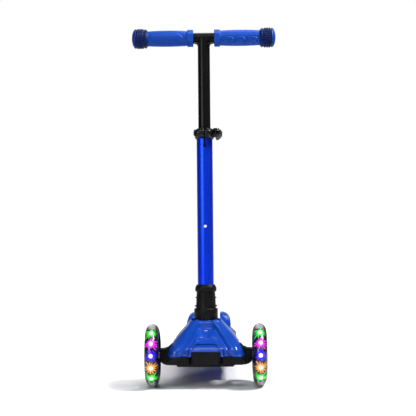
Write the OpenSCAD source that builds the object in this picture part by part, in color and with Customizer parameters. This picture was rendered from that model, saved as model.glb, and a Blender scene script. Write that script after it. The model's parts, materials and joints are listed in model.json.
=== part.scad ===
// Three-wheeled kick scooter for a small child, steered by leaning.
// The scooter faces -Y and stands on its wheels at Z = 0. +X is the rider's left.
// The stem leans sideways on a pivot in the nose and a tie rod turns both front wheels.

/* [Front wheels] */
// Outside diameter of a front tyre
front_wheel_d = 125; // [118:1:132]
// Width of a front tyre
front_wheel_w = 28; // [26:1:32]
// Distance between the middles of the two front wheels
front_track = 214; // [212:1:230]
// Outside diameter of a front wheel's moulded core
front_core_d = 96; // [90:1:100]
// How far the lips of the front and rear tyres reach down over their cores' edges
tyre_lip = 4; // [3:0.5:4.5]

/* [Rear wheel] */
// Outside diameter of the rear tyre
rear_wheel_d = 80; // [76:1:86]
// Width of the rear tyre
rear_wheel_w = 24; // [22:1:26]
// Outside diameter of the rear wheel's core
rear_core_d = 56; // [50:1:60]
// Distance from the front axles to the rear axle
wheelbase = 435; // [420:5:480]

/* [Wheel bearings] */
// Diameter of the axle shanks
axle_d = 7.94; // [7.9:0.01:7.96]
// Bore of a ball bearing
bearing_bore = 8; // [8:0.01:8.02]
// Outside diameter of a ball bearing
bearing_od = 22; // [21:0.5:24]
// Width of a ball bearing
bearing_w = 7; // [6:0.5:8]

/* [Wheel lights] */
// Number of lamps round a front wheel
led_count = 16; // [8:1:20]
// Diameter of one lamp
led_d = 5; // [4:0.5:6]
// Height of one lamp above the core
led_h = 4; // [3:0.5:5]
// Turn of the ring of lamps about the axle
led_turn = -6.6; // [-11:0.1:11]

/* [Deck] */
// Width of the deck
deck_w = 128; // [120:1:136]
// Height of the deck's top above the ground
deck_top = 70; // [68:0.5:74]
// Depth of the deck's edge
deck_h = 26; // [24:0.5:28]
// Thickness of the deck's top skin
deck_skin = 5; // [4:0.5:7]
// Thickness of the deck's side walls
deck_wall = 4; // [3:0.5:6]
// Thickness of the rubber tread on the deck
tread_h = 2.5; // [1.5:0.5:4]
// Distance of the tread's front edge behind the front axles
tread_front = 132; // [128:1:150]
// Distance of the tread's back edge in front of the rear axle
tread_back = 78; // [74:1:100]

/* [Nose] */
// Height of the nose shell's lower edge above the ground
nose_base_z = 63.5; // [62:0.5:65]
// Height of the tray's underside above the ground
tray_z0 = 49; // [48:0.5:52]
// Height of the lumps under the tray above the ground
lump_z0 = 44; // [42:0.5:47]
// How far the nose reaches in front of the front axles
nose_reach = 44; // [42:0.5:46]

/* [Stem] */
// Backward rake of the stem
rake = 3; // [1:0.5:5]
// Distance of the lean pivot behind the front axles
head_back = 30; // [28:0.5:32]
// Height of the lean pivot above the ground
pivot_z = 104; // [103:0.5:105]
// Outside diameter of the stem's outer tube
tube_d = 32.5; // [32:0.1:34]
// Wall of the outer tube
tube_wall = 2; // [1.5:0.1:2.4]
// Length of the outer tube
tube_len = 385.6; // [340:0.1:420]
// Diameter of the hole across the outer tube
pin_hole_d = 6.5; // [5:0.5:8]
// Height of that hole above the lean pivot, along the stem
pin_hole_s = 215.3; // [180:0.1:230]
// Width of the clamping slot in the tube's front
slot_w = 3.2; // [2:0.2:4]
// Diameter of the round end of the slot
slot_end_d = 6; // [5:0.5:7]

/* [Handlebar] */
// Outside diameter of the inner tube
inner_d = 25; // [24:0.1:26]
// Wall of the inner tube
inner_wall = 1.8; // [1.2:0.1:2.5]
// Height of the crossbar above the lean pivot, along the stem
bar_s = 602.8; // [590:0.1:640]
// Overall width of the handlebar over the grips
bar_w = 296; // [280:1:320]
// Diameter of the crossbar
crossbar_d = 22.2; // [22:0.1:24]
// Length of inner tube held inside the outer tube
insertion = 130; // [110:1:150]
// Diameter of a grip's body
grip_d = 32; // [30:0.5:34]
// Diameter of a grip's bulb end
bulb_d = 41.5; // [38:0.5:44]
// Length of a grip's bulb end
bulb_len = 33; // [30:1:36]
// Length of the dome at a grip's end
dome_len = 13; // [11:0.5:15]
// Diameter of a grip's inner flange
flange_d = 33.5; // [33:0.5:36]
// Length of a grip's inner flange
flange_len = 12.5; // [10:0.5:14]
// Bare crossbar left between the two grips
bare_bar = 43; // [38:1:50]

/* [Fits] */
// Radial clearance of a running fit
run = 0.05; // [0.03:0.01:0.08]
// Gap between neighbours that move past each other
gap = 0.3; // [0.2:0.05:0.5]

/* [Hidden] */
$fn = 64;

blue = [0.05, 0.17, 0.70];
deep_blue = [0.03, 0.10, 0.62];
black = [0.07, 0.07, 0.075];
steel = [0.72, 0.73, 0.75];
smoke = [0.16, 0.16, 0.18];

// ---- places along the scooter ----
front_r = front_wheel_d / 2;
rear_r = rear_wheel_d / 2;
brake_gap = 8;
brake_t = 4;
pedal_out_r = rear_r + brake_gap + brake_t;
pedal_end_deg = 28;
front_y = -(wheelbase + pedal_out_r * cos(pedal_end_deg) - front_r) / 2;
rear_y = front_y + wheelbase;
head_y = front_y + head_back;
deck_bottom = deck_top - deck_h;

// ---- wheels ----
hub_half = 10;
front_mid = front_track / 2;
hub_in = front_mid - hub_half;
core_r = front_core_d / 2;
hub_r = bearing_od / 2 + 4;
race_r = 6.5;

// ---- steering ----
beam_front = 14;
kingpin_r = 4;
kingpin_x = hub_in - 21;
knuckle_r = 8.5;
arm_len = 32;
tie_pin_r = 2.5;
tie_y = front_y + arm_len;
ball_r = 5;
ball_z = 66;
tie_z0 = 62;
tie_h = 8;
steer_arm_z0 = front_r - 7.5;
steer_arm_h = tie_z0 - gap - steer_arm_z0;

// ---- head ----
lean_pin_r = 5;
barrel_r = 12;
barrel_back = 18.2;
barrel_front = 17.7;
ear_t = 8;
ear_r = 10;
plate_h = 4;
bracket_h = 4;
tongue_top = 56;
plate_z0 = deck_bottom - plate_h;
bracket_z0 = tongue_top;
bracket_top = tongue_top + bracket_h;
neck_r = tube_d / 2 - tube_wall - run;
lean_max = 9;
lever_half = 3.5;
cheek_x = 13;
deck_y0 = head_y + barrel_back + ear_t + 2 * gap + 1;

// ---- stem, measured along it from the lean pivot ----
band_s = 26.5;
band_top_s = 48.5;
rib_low_s = 52;
rib_high_s = 69;
ring_s = 82.4;
collar_top_s = 96.5;
tube_r = tube_d / 2;
tube_in_r = tube_r - tube_wall;
tube_s0 = band_s + 0.5;
tube_s1 = tube_s0 + tube_len;
spigot_s1 = band_top_s;
clamp_h = 21;
clamp_s1 = tube_s1 + 2;
clamp_s0 = clamp_s1 - clamp_h;
clamp_mid = (clamp_s0 + clamp_s1) / 2;
clamp_r = tube_r + 3;
slot_end_s = clamp_s0 - 15;
bolt_y = -21;
bolt_r = 2.5;
ear_round_r = 9.8;
cam_x = 24;
cam_r = 9;
cam_h = 18;
cam_pin_r = 3;
button_s = 60.5;
button_r = 5;

// ---- handlebar ----
inner_r = inner_d / 2;
inner_s0 = tube_s1 - insertion;
crossbar_r = crossbar_d / 2;
bar_half = bar_w / 2;
grip_x0 = bare_bar / 2;
flange_x1 = grip_x0 + flange_len;
bulb_x0 = bar_half - bulb_len;

// ---- brake ----
pedal_w = 40;
brake_hinge_y = rear_y - 60;
brake_hinge_z = deck_top + 12;
brake_pin_r = 2.5;
brake_eye_r = 6;
fork_half = 16;
boss_half = rear_wheel_w / 2 + gap;

// ---- helpers ----
// Points of an arc about [cx, cy] from angle a0 to a1
function arc(cx, cy, r, a0, a1, n = 8) =
    [for (i = [0:n]) [cx + r * cos(a0 + (a1 - a0) * i / n), cy + r * sin(a0 + (a1 - a0) * i / n)]];

// Points mirrored across the X = 0 line, so a half outline becomes a whole one
function whole(half) =
    concat(half, [for (i = [len(half) - 1:-1:0]) [-half[i][0], half[i][1]]]);

// Stands children on the stem's axis at a distance s above the lean pivot
module on_stem(s = 0) {
    translate([0, head_y, pivot_z]) rotate([-rake, 0, 0]) translate([0, 0, s]) children();
}

// Turns children drawn about Z so that their axis lies along X, at the place given
module along_x(x, y, z) {
    translate([x, y, z]) rotate([0, 90, 0]) children();
}

// Turns children drawn about Z so that their axis lies along Y, at the place given
module along_y(x, y, z) {
    translate([x, y, z]) rotate([-90, 0, 0]) children();
}

// Draws a front (XZ) outline and runs it from y0 to y1
module front_prism(points, y0, y1) {
    translate([0, y1, 0]) rotate([90, 0, 0]) linear_extrude(y1 - y0) polygon(points);
}

// Draws a side (YZ) outline and runs it from x0 to x1
module side_prism(points, x0, x1) {
    translate([x0, 0, 0]) rotate([90, 0, 90]) linear_extrude(x1 - x0) polygon(points);
}

module pipe(r_out, r_in, h) {
    difference() {
        cylinder(r = r_out, h = h);
        translate([0, 0, -1]) cylinder(r = r_in, h = h + 2);
    }
}

module hex(r, h) {
    cylinder(r = r, h = h, $fn = 6);
}

// ---- wheels ----
// Points of an elliptical crown across a tyre: half width a, and b from its widest place to its tip
function crown(base_r, a, b, n = 24) =
    [for (i = [0:n]) [base_r + b * sin(180 * i / n), a * cos(180 * i / n)]];

// A tyre with an elliptical crown and a lip over each edge of its core, and a channel for the lamps
module tyre(r, w, seat_r, seat_half, channel_r, channel_half) {
    lip_r = seat_r - tyre_lip;
    points = concat(
        [[channel_r, channel_half], [seat_r, channel_half], [seat_r, seat_half], [lip_r, seat_half]],
        crown(lip_r, w / 2, r - lip_r),
        [[lip_r, -seat_half], [seat_r, -seat_half], [seat_r, -channel_half], [channel_r, -channel_half]]
    );
    color(smoke) rotate_extrude($fn = 128) polygon(points);
}

// A moulded core: rim, spokes and a hub with a bearing seat in each end
module core(rim_r, rim_half, hub_half_w, hub_out_r, spokes) {
    rim_t = 5;
    seat_r = bearing_od / 2;
    color(blue) difference() {
        union() {
            translate([0, 0, -rim_half]) pipe(rim_r, rim_r - rim_t, 2 * rim_half);
            translate([0, 0, -hub_half_w]) cylinder(r = hub_out_r, h = 2 * hub_half_w);
            for (i = [0:spokes - 1]) rotate([0, 0, 360 * i / spokes])
                translate([hub_out_r - 2, -5, -4]) cube([rim_r - rim_t - hub_out_r + 3, 10, 8]);
        }
        translate([0, 0, -hub_half_w - 1]) cylinder(r = seat_r - 3, h = 2 * hub_half_w + 2);
        for (end = [-1, 1]) translate([0, 0, end * (hub_half_w - bearing_w / 2)])
            cylinder(r = seat_r, h = bearing_w + 0.02, center = true);
    }
}

// Both bearings of one hub, each a closed ring
module bearings(hub_half_w) {
    color(steel) for (end = [-1, 1]) translate([0, 0, end * (hub_half_w - bearing_w / 2)])
        difference() {
            cylinder(r = bearing_od / 2, h = bearing_w, center = true);
            cylinder(r = bearing_bore / 2, h = bearing_w + 2, center = true);
            for (face = [-1, 1]) translate([0, 0, face * bearing_w / 2]) difference() {
                cylinder(r = bearing_od / 2 - 2, h = 0.8, center = true);
                cylinder(r = race_r, h = 2, center = true);
            }
        }
}

// The magnet ring between the bearings of a hub
module spacer(hub_half_w) {
    color(smoke) translate([0, 0, -hub_half_w + bearing_w])
        pipe(bearing_od / 2 - 4, bearing_bore / 2, 2 * (hub_half_w - bearing_w));
}

// The lamps stand round the core, each a round post with a domed top
module leds() {
    color("white") for (i = [0:led_count - 1]) rotate([0, 0, 360 * i / led_count + led_turn])
        translate([core_r, 0, 0]) rotate([0, 90, 0]) {
            cylinder(d = led_d, h = led_h - led_d / 2 + 0.5, $fn = 24);
            translate([0, 0, led_h - led_d / 2]) intersection() {
                sphere(d = led_d, $fn = 24);
                cylinder(d = led_d + 1, h = led_d);
            }
        }
}

module at_front_wheel(side) {
    along_x(side * front_mid, front_y, front_r) children();
}

module at_rear_wheel() {
    along_x(0, rear_y, rear_r) children();
}

module tyre_front(side) {
    at_front_wheel(side) tyre(front_r, front_wheel_w, core_r, hub_half,
        core_r + led_h + 0.6, led_d / 2 + 0.6);
}

module core_front(side) {
    at_front_wheel(side) core(core_r, hub_half, hub_half, hub_r, 5);
}

module tyre_rear() {
    at_rear_wheel() tyre(rear_r, rear_wheel_w, rear_core_d / 2, rear_wheel_w / 2 - 3,
        rear_core_d / 2 + 1, 3);
}

module core_rear() {
    at_rear_wheel() core(rear_core_d / 2, rear_wheel_w / 2 - 3, rear_wheel_w / 2, hub_r, 5);
}

// ---- steering ----
// A knuckle: kingpin boss, boss for the wheel's axle, and an arm back to the tie rod
module knuckle(side) {
    half_h = 7.7;
    color(smoke) translate([side * kingpin_x, front_y, 0]) difference() {
        union() {
            translate([0, 0, front_r - half_h]) cylinder(r = knuckle_r, h = 2 * half_h);
            translate([side * (hub_in - gap - kingpin_x) / 2, 0, front_r]) rotate([0, 90, 0])
                cylinder(r = race_r, h = hub_in - gap - kingpin_x, center = true);
            translate([-4.5, 0, steer_arm_z0]) cube([9, arm_len, steer_arm_h]);
            translate([0, arm_len, steer_arm_z0]) cylinder(r = 6.5, h = steer_arm_h);
        }
        translate([0, 0, front_r - half_h - 1]) cylinder(r = kingpin_r + run, h = 2 * half_h + 2);
        translate([side * (kingpin_r + 1.5 + 20), 0, front_r]) rotate([0, 90, 0])
            cylinder(d = bearing_bore, h = 40, center = true);
        for (along = [0, 0.8]) translate([0, arm_len + along, steer_arm_z0 - 1])
            cylinder(r = tie_pin_r + gap, h = steer_arm_h + 2);
        translate([-tie_pin_r - gap, arm_len, steer_arm_z0 - 1])
            cube([2 * (tie_pin_r + gap), 0.8, steer_arm_h + 2]);
    }
}

// A shoulder bolt that holds a front wheel on its knuckle
module wheel_axle(side) {
    x0 = kingpin_x + kingpin_r + 2;
    x1 = front_mid + hub_half + gap;
    color(steel) {
        along_x(side > 0 ? x0 : -x1, front_y, front_r) cylinder(d = axle_d, h = x1 - x0);
        along_x(side > 0 ? x1 : -x1 - 3.4, front_y, front_r) difference() {
            cylinder(r = race_r, h = 3.4);
            translate([0, 0, side > 0 ? 1.4 : -1]) hex(2.9, 3);
        }
    }
}

module kingpins() {
    color(steel) for (side = [-1, 1]) translate([side * kingpin_x, front_y, 0]) {
        translate([0, 0, deck_bottom + 2]) cylinder(r = kingpin_r, h = 30);
    }
}

// The tie rod: a bar with a slotted block for the lever's ball and a pin at each end
module tie_rod() {
    bar_half_y = 4;
    slot_x = ball_r + gap / 1.5;
    color(black) translate([0, tie_y, tie_z0]) {
        difference() {
            union() {
                translate([-kingpin_x, -bar_half_y, 0]) cube([2 * kingpin_x, 2 * bar_half_y, tie_h]);
                translate([-slot_x - 4.5, -9, 0]) cube([2 * slot_x + 9, 18, tie_h]);
                for (side = [-1, 1]) translate([side * kingpin_x, 0, 0]) cylinder(r = 6, h = tie_h);
            }
            translate([-slot_x, -ball_r - 0.5, -1]) cube([2 * slot_x, 2 * ball_r + 1, tie_h + 2]);
        }
        for (side = [-1, 1]) translate([side * kingpin_x, 0, steer_arm_z0 - tie_z0])
            cylinder(r = tie_pin_r, h = tie_z0 - steer_arm_z0 + 1);
    }
}

// The beam across the front, with a towered clevis at each end for a knuckle
beam_half = whole([
    [0, tongue_top], [58, tongue_top], [61, 84], [63, 86], [68.5, 86], [75, 79.5], [82, 76.5],
    [92, 75.5], [92, 56], [90.5, 51], [86, 47], [79, 44.6], [70, deck_bottom], [0, deck_bottom]
]);

module axle_beam() {
    y0 = front_y - beam_front;
    y1 = front_y + 12;
    pocket_z0 = front_r - 8;
    color(black) difference() {
        front_prism(beam_half, y0, y1);
        for (side = [-1, 1]) {
            translate([side > 0 ? 66.5 : -106.5, front_y - 10, pocket_z0]) cube([40, 30, 16]);
            translate([side * kingpin_x, front_y, deck_bottom + 2]) cylinder(r = kingpin_r, h = 60);
        }
        chassis_holes();
    }
}

// ---- chassis ----
screw_rows = [front_y - 4, front_y + 22, front_y + 48, front_y + 74];
screw_places = [for (y = screw_rows) for (x = [-25, 25]) [x, y]];

module chassis_holes() {
    for (p = screw_places) translate([p[0], p[1], plate_z0 - 1]) cylinder(r = 2.5, h = 26);
}

// The plate under the beam and the deck's tongue
module chassis_plate() {
    color(black) difference() {
        translate([-34, front_y - 12, plate_z0]) cube([68, 98, plate_h]);
        for (p = screw_places) translate([p[0], p[1], plate_z0 - 1]) {
            cylinder(r = 2.5, h = plate_h + 2);
            cylinder(r = 4.6, h = 3.8);
        }
    }
}

// Screws from below, through the plate and the deck into the head bracket
module chassis_screws() {
    color(steel) for (p = screw_places) translate([p[0], p[1], 0]) {
        top = p[1] < front_y + 60 ? bracket_top : tongue_top;
        translate([0, 0, plate_z0 + 0.3]) difference() {
            cylinder(r = 4.5, h = 2.5);
            translate([0, 0, -1]) hex(1.8, 2.2);
        }
        translate([0, 0, plate_z0 + 2.8]) cylinder(r = 2.45, h = top - plate_z0 - 2.8);
    }
}

// The bracket that carries the lean pin between two ears
module head_bracket() {
    base_y0 = front_y - 10;
    base_y1 = deck_y0 - gap;
    front_ear_y = head_y - barrel_front - gap - ear_t;
    back_ear_y = head_y + barrel_back + gap;
    color(black) difference() {
        union() {
            translate([-34, base_y0, bracket_z0]) cube([68, base_y1 - base_y0, bracket_h]);
            for (y = [front_ear_y, back_ear_y]) {
                front_prism(whole([[ear_r, pivot_z], [22, bracket_top - 1]]), y, y + ear_t);
                along_y(0, y, pivot_z) cylinder(r = ear_r, h = ear_t);
            }
            for (side = [-1, 1]) translate([side > 0 ? cheek_x : -cheek_x - 4, front_ear_y + 1, 74])
                cube([4, back_ear_y - front_ear_y, 14]);
        }
        along_y(0, front_ear_y - 1, pivot_z) cylinder(r = lean_pin_r, h = 70);
        chassis_holes();
    }
}

module lean_pin() {
    y0 = head_y - barrel_front - gap - ear_t;
    y1 = head_y + barrel_back + gap + ear_t;
    color(steel) {
        along_y(0, y0 - 0.2, pivot_z) cylinder(r = lean_pin_r, h = y1 - y0 + 4);
        along_y(0, y0 - 3.2, pivot_z) cylinder(r = 7.5, h = 3);
    }
}

// Rubber blocks that stop the lever at full lean
module bump_stops() {
    front_ear_back = head_y - barrel_front - gap;
    stop_z0 = 78;
    x0 = lever_half + (pivot_z - stop_z0) * sin(lean_max) + gap;
    color(smoke) for (side = [-1, 1]) translate([side > 0 ? x0 : -cheek_x, front_ear_back, stop_z0])
        cube([cheek_x - x0, tie_y + 4 - front_ear_back, 9]);
}

// ---- deck ----
deck_half = deck_w / 2;
tail_half = 50;
tail_y1 = rear_y + 16;
deck_outline = whole(concat(
    [[0, deck_y0]],
    arc(deck_half - 10, deck_y0 + 10, 10, -90, 0, 5),
    [[deck_half, rear_y - 120], [deck_half - 2, rear_y - 100], [tail_half + 3, rear_y - 30]],
    [[tail_half, rear_y - 10]],
    arc(tail_half - 10, tail_y1 - 10, 10, 0, 90, 5),
    [[fork_half, tail_y1], [fork_half, rear_y - rear_r - 6], [0, rear_y - rear_r - 6]]
));

module deck_board() {
    pocket_x = 3;
    pocket_y = 5;
    rib = 3;
    field_y0 = front_y + 96;
    field_y1 = rear_y - 125;
    cell_x = (deck_w - 2 * deck_wall - (pocket_x - 1) * rib) / pocket_x;
    cell_y = (field_y1 - field_y0 - (pocket_y - 1) * rib) / pocket_y;
    bolt_z = rear_r;
    color(blue) difference() {
        union() {
            translate([0, 0, deck_bottom]) linear_extrude(deck_h) polygon(deck_outline);
            translate([-40, front_y + 12 + gap, deck_bottom])
                cube([80, deck_y0 - front_y, tongue_top - deck_bottom]);
            for (side = [-1, 1]) {
                translate([side > 0 ? 14 : -20, brake_hinge_y - brake_eye_r, deck_top - 1])
                    cube([6, 2 * brake_eye_r, brake_hinge_z - deck_top + 1]);
                along_x(side > 0 ? 14 : -20, brake_hinge_y, brake_hinge_z) cylinder(r = brake_eye_r, h = 6);
                along_x(side > 0 ? boss_half : -fork_half - 1, rear_y, bolt_z)
                    cylinder(r = race_r + 1.5, h = fork_half + 1 - boss_half);
                translate([side > 0 ? fork_half : -tail_half + 2, rear_y - 14, bolt_z - 12])
                    cube([tail_half - fork_half - 2, 28, 20]);
            }
        }
        for (ix = [0:pocket_x - 1]) for (iy = [0:pocket_y - 1])
            translate([-deck_half + deck_wall + ix * (cell_x + rib),
                field_y0 + iy * (cell_y + rib), deck_bottom - 1])
                cube([cell_x, cell_y, deck_h - deck_skin + 1]);
        along_x(-60, rear_y, bolt_z) cylinder(d = bearing_bore, h = 120);
        for (side = [-1, 1]) along_x(side > 0 ? 26 : -66, rear_y, bolt_z) cylinder(r = 9, h = 40);
        along_x(-21, brake_hinge_y, brake_hinge_z) cylinder(r = brake_pin_r, h = 42);
        chassis_holes();
    }
}

// The tread mat, with cross grooves moulded in its top
module deck_tread() {
    y0 = front_y + tread_front;
    y1 = rear_y - tread_back;
    grooves = 12;
    pitch = (y1 - y0) / grooves;
    inset = 9;
    points = whole(concat(
        [[0, y0]],
        arc(deck_half - inset - 12, y0 + 12, 12, -90, 0, 4),
        [[deck_half - inset, rear_y - 118]],
        arc(deck_half - inset - 20, y1 - 12, 12, 0, 90, 4),
        [[0, y1]]
    ));
    color(black) translate([0, 0, deck_top]) difference() {
        linear_extrude(tread_h) polygon(points);
        for (i = [1:grooves - 2]) translate([-deck_half + inset + 6, y0 + pitch * (i + 0.4), tread_h - 1])
            cube([deck_w - 2 * inset - 12, 3, 3]);
    }
}

// ---- rear end ----
// A cover on each side of the rear wheel, standing on the deck's tail
guard_x0 = 27;
guard_x1 = 53;
guard_top = 103;

module guard_solid(t) {
    brow_x = guard_x0 + 5;
    brow_z = deck_top + 6;
    brow = [for (i = [0:8]) [
        brow_x + (guard_x1 - brow_x - t) * sin(90 * i / 8),
        brow_z + (guard_top - brow_z - t) * cos(90 * i / 8)
    ]];
    outline = concat(
        [[guard_x0 + t, deck_top - 1], [guard_x0 + t, guard_top - t]],
        brow,
        [[tail_half + 1 - t, deck_top - 1]]
    );
    side_view = [
        [rear_y - 50 + t, deck_top - 1], [rear_y - 34 + t, guard_top - 8], [rear_y - 20, guard_top - t],
        [rear_y + 8, guard_top - t], [rear_y + 24 - t, guard_top - 10], [rear_y + 34 - t, deck_top + 4],
        [rear_y + 34 - t, deck_top - 1]
    ];
    intersection() {
        front_prism(outline, rear_y - 60, rear_y + 40);
        side_prism(side_view, 0, 80);
    }
}

module tail_guards() {
    wall = 3;
    color(blue) for (side = [0, 1]) mirror([side, 0, 0]) difference() {
        guard_solid(0);
        translate([0, 0, -2]) guard_solid(wall);
        translate([-10, rear_y - 100, deck_top - 40]) cube([100, 200, 40]);
    }
}

module rear_axle() {
    head_x = 26;
    color(steel) {
        along_x(-head_x - 6, rear_y, rear_r) cylinder(d = axle_d, h = 2 * head_x + 6);
        along_x(head_x, rear_y, rear_r) difference() {
            cylinder(r = race_r + 0.5, h = 5);
            translate([0, 0, 2.5]) hex(3, 3);
        }
    }
}

module rear_axle_nut() {
    color(steel) along_x(-32, rear_y, rear_r) difference() {
        hex(7.4, 6);
        translate([0, 0, -1]) cylinder(d = bearing_bore, h = 8);
    }
}

module brake_pin() {
    color(steel) along_x(-20.5, brake_hinge_y, brake_hinge_z) cylinder(r = brake_pin_r, h = 41);
}

// The brake pedal arches over the rear wheel and turns on a pin at its front
module brake_pedal() {
    in_r = rear_r + brake_gap;
    out_r = pedal_out_r;
    eye_half = 14 - gap;
    arch = concat(
        arc(rear_y, rear_r, in_r, pedal_end_deg, 132, 12),
        arc(rear_y, rear_r, out_r, 132, pedal_end_deg, 12)
    );
    plate = [
        [brake_hinge_y, brake_hinge_z - 2], [brake_hinge_y, brake_hinge_z + 3],
        [rear_y + out_r * cos(126), rear_r + out_r * sin(126)],
        [rear_y + in_r * cos(131), rear_r + in_r * sin(131)]
    ];
    color(blue) difference() {
        union() {
            side_prism(arch, -pedal_w / 2, pedal_w / 2);
            side_prism(plate, -eye_half, eye_half);
            along_x(-eye_half, brake_hinge_y, brake_hinge_z)
                cylinder(r = brake_eye_r - 1.5, h = 2 * eye_half);
        }
        along_x(-30, brake_hinge_y, brake_hinge_z) cylinder(r = brake_pin_r + run, h = 60);
    }
}

// The coil spring that lifts the pedal, drawn as its wound rings with closed ends
module brake_spring() {
    wire = 1;
    coil_r = 3.6;
    turns = 5;
    height = 7.6;
    color(steel) translate([0, brake_hinge_y + 9.5, deck_top]) {
        for (i = [0:turns - 1]) translate([0, 0, wire / 2 + i * (height - wire) / (turns - 1)])
            rotate_extrude($fn = 32) translate([coil_r, 0]) circle(d = wire, $fn = 16);
        translate([coil_r, 0, wire / 2]) cylinder(r = 0.3, h = height - wire, $fn = 16);
    }
}

// ---- nose ----
nose_front_y = front_y - nose_reach;
nose_top_z = band_s + pivot_z + 0.6;
nose_side_z = nose_top_z - 4.5;
nose_fold_z = nose_base_z + 13.5;
nose_wall = 3;
block_top = 73.2;
arch_front_y = front_y - beam_front - 0.8;

// The shell seen from the front, drawn in by t
function nose_front(t) = whole([
    [0, nose_top_z - t], [24, nose_side_z - t], [31.5 - t, nose_side_z - 0.5 - t],
    [71 - t, 80], [78 - t, nose_base_z + 1], [79 - t, nose_base_z - 2]
]);

// The shell seen from the side, drawn in by t
function nose_side(t) = [
    [nose_front_y + t, nose_base_z - 2], [nose_front_y + t, nose_fold_z],
    [nose_front_y + 2.5 + t, nose_fold_z + 4],
    [head_y - 27 + t * 0.6, nose_top_z - 1 - t], [head_y - 22, nose_top_z + 0.5 - t],
    [head_y + 28, nose_top_z - 2 - t], [head_y + 34 - t * 0.6, nose_top_z - 5 - t],
    [front_y + 122 - t, deck_top + 4 - t], [front_y + 122 - t, nose_base_z - 2]
];

// The shell seen from above, drawn in by t
function nose_plan(t) = whole([
    [0, nose_front_y + t], [56, nose_front_y + t], [72 - t, nose_front_y + 5 + t],
    [79 - t, nose_front_y + 16],
    [79 - t, front_y + 10], [deck_half - 1 - t, front_y + 50], [deck_half - 3 - t, front_y + 90],
    [44 - t, front_y + 122 - t], [0, front_y + 122 - t]
]);

module nose_body(t) {
    intersection() {
        front_prism(nose_front(t), front_y - 60, front_y + 140);
        side_prism(nose_side(t), -90, 90);
        translate([0, 0, 40]) linear_extrude(110) polygon(nose_plan(t));
    }
}

// A raised rib from beside the collar down to a bottom corner
module nose_rib(side) {
    hull() {
        translate([side * 31, head_y - 10, nose_side_z - 3]) cube([6, 8, 4], center = true);
        translate([side * 27, head_y - 28, nose_side_z - 3]) cube([7, 6, 4], center = true);
        translate([side * 69, nose_front_y + 8, nose_fold_z - 3]) cube([9, 12, 4], center = true);
        translate([side * 62, nose_front_y + 26, 84]) cube([4, 8, 4], center = true);
    }
}

mouth = whole([[0, 89], [20, 89], [23, 86.5], [29.5, 76], [32.5, 50]]);
mouth_rim = whole([[0, 95], [23, 95], [27, 92], [34, 77], [38, 50]]);
rim_side = [
    [nose_front_y - 1.5, nose_base_z], [nose_front_y - 1.5, nose_fold_z + 2],
    [nose_front_y + 16, 100], [nose_front_y + 40, 100], [nose_front_y + 40, nose_base_z]
];

module nose_shell() {
    deck_line = deck_top + 0.05;
    color(blue) difference() {
        union() {
            nose_body(0);
            intersection() {
                front_prism(mouth_rim, nose_front_y - 2, front_y);
                side_prism(rim_side, -60, 60);
            }
            for (side = [-1, 1]) nose_rib(side);
        }
        translate([0, 0, -0.01]) nose_body(nose_wall);
        front_prism(mouth, nose_front_y - 10, front_y - 2);
        on_stem(0) cylinder(r = 20, h = 60);
        for (i = [-2:2]) translate([0, head_y, pivot_z]) rotate([0, lean_max * i / 2, 0])
            translate([0, -head_y, -pivot_z]) on_stem(band_s - 0.6) cylinder(r = 24.6, h = 30);
        for (side = [-1, 1])
            translate([side > 0 ? 57 : -157, arch_front_y, 40]) cube([100, 62, 48]);
        translate([-100, arch_front_y, 20]) cube([200, 180, deck_line - 20]);
        translate([-100, front_y - 80, 20]) cube([200, 80, nose_base_z - 20]);
    }
}

flap_face = whole([[0, 88], [19.3, 88], [22, 86], [28, 76], [28, 74], [0, 74]]);
flap_lip = whole([[0, 76.5], [27.5, 76.5], [29, block_top], [0, block_top]]);

// The flap that fills the shell's mouth, with a lip along its lower edge
module nose_flap() {
    y0 = nose_front_y + 5;
    color(blue) difference() {
        union() {
            front_prism(flap_face, y0, y0 + 4);
            front_prism(flap_lip, y0 - 3, y0 + 4);
            translate([-26, y0 + 1, block_top]) cube([52, front_y - beam_front - y0 - 1, 2.5]);
        }
        translate([-100, y0 - 20, 88.5]) cube([200, 60, 30]);
    }
}

// The tray in plan, cut back at the block; the block and one lump under the tray from the front
tray_notch = 9;
tray_plan = whole([
    [0, nose_front_y + tray_notch], [30, nose_front_y + tray_notch], [34, nose_front_y + 2],
    [60, nose_front_y + 2], [73, nose_front_y + 7], [76, nose_front_y + 16],
    [76, front_y - beam_front], [0, front_y - beam_front]
]);
block_face = whole([[0, block_top], [29, block_top], [24.5, tray_z0], [0, tray_z0]]);
lump_face = [[-18, tray_z0 + 1], [-15, lump_z0], [13, lump_z0], [18, tray_z0 + 1]];

// The black block and tray in front of the beam
module front_bumper() {
    lump_x = 41;
    tray_h = nose_base_z - 0.5 - tray_z0;
    tray_floor = 3;
    y1 = front_y - beam_front;
    color(black) difference() {
        union() {
            translate([0, 0, tray_z0]) linear_extrude(tray_h) polygon(tray_plan);
            front_prism(block_face, nose_front_y + 3, y1);
            for (side = [-1, 1]) translate([side * lump_x, 0, 0])
                front_prism(lump_face, nose_front_y + 8, y1);
        }
        for (side = [-1, 1])
            translate([side > 0 ? 35 : -72, nose_front_y + 10, tray_z0 + tray_floor])
                cube([37, y1 - nose_front_y - 13, 40]);
    }
}

// ---- column ----
// The casting that leans: a cross barrel, a spigot up into the tube and a lever down
module pivot_block() {
    color(smoke) difference() {
        union() {
            along_y(0, head_y - barrel_front, pivot_z) cylinder(r = barrel_r, h = barrel_front + barrel_back);
            on_stem(0) cylinder(r = neck_r, h = spigot_s1);
            translate([-lever_half, tie_y - 4, ball_z]) cube([2 * lever_half, 8, pivot_z - ball_z - 6]);
            translate([0, tie_y, ball_z]) sphere(r = ball_r);
        }
        along_y(0, head_y - 40, pivot_z) cylinder(r = lean_pin_r + 3, h = 80);
    }
}

// A rubber bush bonded in the barrel; its twist brings the stem upright again
module lean_bush() {
    color(black) along_y(0, head_y - barrel_front, pivot_z)
        pipe(lean_pin_r + 3, lean_pin_r + run, barrel_front + barrel_back);
}

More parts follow.
